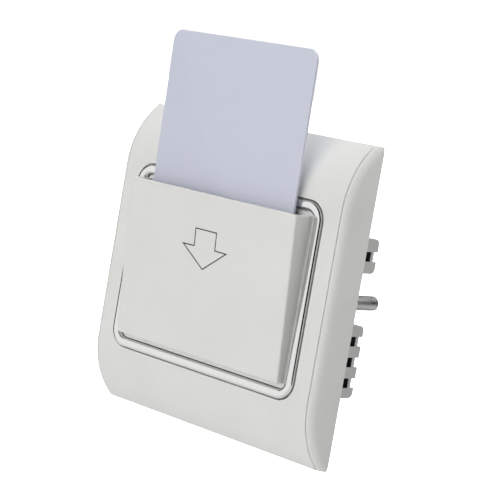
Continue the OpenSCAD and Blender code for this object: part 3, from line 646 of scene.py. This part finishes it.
# Trim ring: a band of plastic with a flat crown and full shoulders, plated in bright chrome and set in the panel's
# opening around the pocket. A tab at each side holds it behind the panel.
bright_chrome = plated_metal("bright_chrome", (0.84, 0.845, 0.835), 0.03, 0.02, 700.0, 0.000003)
ring_half_x, ring_half_z, ring_corner, ring_band = 35.3, 26.15, 5.2, 2.5
ring_back, ring_shoulder, ring_fullness = -8.0, -10.05, 0.6
tab_in, tab_out, tab_front, tab_half = 34.3, 36.8, -8.7, 18
a = np.linspace(0, np.pi, 37)
crown = np.abs(np.sin(a)) ** ring_fullness
across = np.sign(np.cos(a)) * np.abs(np.cos(a)) ** ring_fullness
ring_inset = np.concatenate([[0], ring_band / 2 * (1 - across), [ring_band]])
ring_depth = np.concatenate([[ring_back], ring_shoulder - ring_band / 2 * crown, [ring_back]])
ring_loops = [rounded_loop(ring_half_x - i, ring_half_z - i, ring_corner - i, corner=14, straight=12)
              for i in ring_inset]
ring_rows = [np.insert(loop, 1, y, axis=1) for loop, y in zip(ring_loops, ring_depth)]


def slab(x0, x1, y0, y1, z0, z1):
    """A plain lug between two opposite corners."""
    return ridge(x0, x1, [[y0, z0], [y1, z0], [y1, z1], [y0, z1]])


mesh = mesh_of("trim_ring", shell(ring_rows, along=True),
               slab(tab_in, tab_out, tab_front, ring_back, -tab_half, tab_half),
               slab(-tab_out, -tab_in, tab_front, ring_back, -tab_half, tab_half))
put_in_scene(mesh.name, mesh, bright_chrome, "chrome_trim", "switch_body", "chrome_ring")

# Face panel: a white moulded cover, flat in the middle and arched back to the wall at its top and bottom, with an
# opening for the ring. Snap arms and hooks behind it hold it to the frame.
plate_half, plate_front, arch_r, flat_z, panel_wall, panel_end = 43.0, 10.5, 23.5, 24.99, 1.8, -0.15
panel_half_x, panel_corner, outer_fillet, inner_fillet = 41.0, 0.5, 0.8, 0.2
panel_ease, ring_gap, least_corner = 0.3, 0.35, 0.05


def arch_stations(inset, fillet):
    """Half of the panel's side view from the middle upwards: flat, an arc about a point behind the wall, a fillet
    onto the edge, and straight back. Gives depth and height at the same number of stations for any inset."""
    centre_y, r, top = arch_r - plate_front, arch_r - inset, plate_half - inset
    fillet_z = top - fillet
    turn = math.asin((fillet_z - flat_z) / (r - fillet))
    fillet_y = centre_y - (r - fillet) * math.cos(turn)
    a, b = np.linspace(0, turn, 40), np.linspace(turn, np.pi / 2, 12)
    y = np.concatenate([[centre_y - r], centre_y - r * np.cos(a), fillet_y - fillet * np.cos(b), [panel_end]])
    z = np.concatenate([[0], flat_z + r * np.sin(a), fillet_z + fillet * np.sin(b), [top]])
    return y, z


outer_y, outer_z = arch_stations(0.0, outer_fillet)
inner_y, inner_z = arch_stations(panel_wall, inner_fillet)
girth = np.concatenate([[0], np.cumsum(np.hypot(np.diff(outer_y), np.diff(outer_z)))])


def on_panel(plan, sunk):
    """Points of the panel from a plan of X and distance along the arch, sunk below the face by a share of the wall."""
    x, u = plan[..., 0], plan[..., 1]
    along, side = np.abs(u), np.sign(u)
    y = np.interp(along, girth, outer_y) * (1 - sunk) + np.interp(along, girth, inner_y) * sunk
    z = np.interp(along, girth, outer_z) * (1 - sunk) + np.interp(along, girth, inner_z) * sunk
    return np.stack([x, y, side * z], -1)


def panel_loop(half_x, half_u, r):
    """One loop of the panel's plan, with the same number of points on every loop."""
    return rounded_loop(half_x, half_u, r, corner=12, straight=44)


def opening(grow):
    """The plan of the panel's opening, grown outwards."""
    grow = grow + ring_gap
    return panel_loop(ring_half_x + grow, ring_half_z + grow, ring_corner + grow)


def outline(shrink):
    """The plan of the panel's outer edge, drawn inwards."""
    return panel_loop(panel_half_x - shrink, girth[-1] - shrink, max(panel_corner - shrink, least_corner))


rows, marks = [on_panel(opening(0), 1.0)], [0]
for a in np.linspace(0, np.pi / 2, 6):
    rows.append(on_panel(opening(panel_ease * (1 - math.cos(a))), panel_ease * (1 - math.sin(a)) / panel_wall))
    marks.append(1)
across_face = np.concatenate([[0.01], np.linspace(0.03, 0.895, 26), np.linspace(0.90, 0.935, 12), [0.95, 0.97, 0.99]])
first, last = opening(panel_ease), outline(panel_ease)
for t in across_face:
    rows.append(on_panel(first * (1 - t) + last * t, 0.0))
    marks.append(0)
for a in np.linspace(0, np.pi / 2, 6):
    rows.append(on_panel(outline(panel_ease * (1 - math.sin(a))), panel_ease * (1 - math.cos(a)) / panel_wall))
    marks.append(1)
for t in np.linspace(1, 0.05, 24):
    rows.append(on_panel(opening(0) * (1 - t) + outline(0) * t, 1.0))
    marks.append(0)
snap_arm, snap_hook = (16, 22, -7.93, -3.6, 32.6, 33.8), (16, 22, -4.9, -4.1, 31.9, 32.7)
hook_arm, hook_end = (26, 32, -9.2, -5.7, 29.3, 30.7), (26, 32, -6.7, -5.7, 28.2, 29.4)
lugs = [slab(side * x0, side * x1, y0, y1, end * z0, end * z1) for side in (-1, 1) for end in (-1, 1)
        for x0, x1, y0, y1, z0, z1 in (snap_arm, snap_hook, hook_arm, hook_end)]
mesh = mesh_of("arched_panel", shell(rows, along=True, mark=marks), *lugs)
put_in_scene(mesh.name, mesh, white_plastic, "white_plastic", "switch_body", "face_panel")

# Printed sign: thin lines of dark ink on the pocket's front, pad printed. The open arrow shows which way the card
# goes in.
ink = moulded_plastic("dark_ink", (0.02, 0.02, 0.022), 0.5, 0.3)
ink_half, ink_lift = 0.16, 0.02


def inked_outline(corners):
    """A closed line of ink: the outline drawn in and out by half the line's width at each corner, laid on the front
    and carried from just inside the wall to just outside it."""
    corners = np.array(corners, dtype=float)
    ahead = np.roll(corners, -1, axis=0) - corners
    ahead /= np.linalg.norm(ahead, axis=1, keepdims=True)
    normal = np.stack([ahead[:, 1], -ahead[:, 0]], -1)
    before = np.roll(normal, 1, axis=0)
    mitre = (normal + before) / (1 + (normal * before).sum(1, keepdims=True)) * ink_half
    rows = [np.insert(corners + side * mitre, 1, 0, axis=1) for side in (1, 1, -1, -1)]
    for row, lift in zip(rows, (-ink_lift, ink_lift, ink_lift, -ink_lift)):
        row[:, 1] = pocket_front(row[:, 2]) - lift
    return shell(rows, along=True)


arrow = [[-4.0, 12.5], [4.0, 12.5], [4.0, 7.7], [8.3, 7.6], [0, 1.9], [-8.3, 7.6], [-4.0, 7.7]]
mesh = mesh_of("printed_arrow", inked_outline(arrow))
put_in_scene(mesh.name, mesh, ink, "black_plastic", "switch_body")

# Key card: a blank card of the standard size, laminated from smooth sheets and die cut, pushed down to the pocket's
# floor and leaning forward a little.
card_plastic = moulded_plastic("card_plastic", (0.585, 0.605, 0.70), 0.3, 0.006, 900.0, 0.0000005, 0.02)
card_half_x, card_long, card_corner, card_ease = 27.0, 85.6, 3.18, 0.1
a = np.linspace(0, np.pi / 2, 5)
drawn_in = np.concatenate([card_ease * (1 - np.sin(a)), card_ease * (1 - np.cos(a))])
level = np.concatenate([-card_thick / 2 + card_ease * (1 - np.cos(a)),
                        card_thick / 2 - card_ease * (1 - np.sin(a))])
card_loops = [rounded_loop(card_half_x - i, card_long / 2 - i, card_corner - i, corner=12, straight=14)
              for i in drawn_in]
rows = np.array([np.insert(loop, 1, y, axis=1) for loop, y in zip(card_loops, level)])
tall, deep = rows[..., 2] + card_long / 2, rows[..., 1].copy()
rows[..., 1] = card_foot_y + deep * math.cos(card_lean) - tall * math.sin(card_lean)
rows[..., 2] = card_foot_z + deep * math.sin(card_lean) + tall * math.cos(card_lean)
mesh = mesh_of("blank_card", shell(rows, caps=True, mark=[0] + [1] * (len(rows) - 2) + [0]))
put_in_scene(mesh.name, mesh, card_plastic, "card_plastic", "key_card", "key_card")
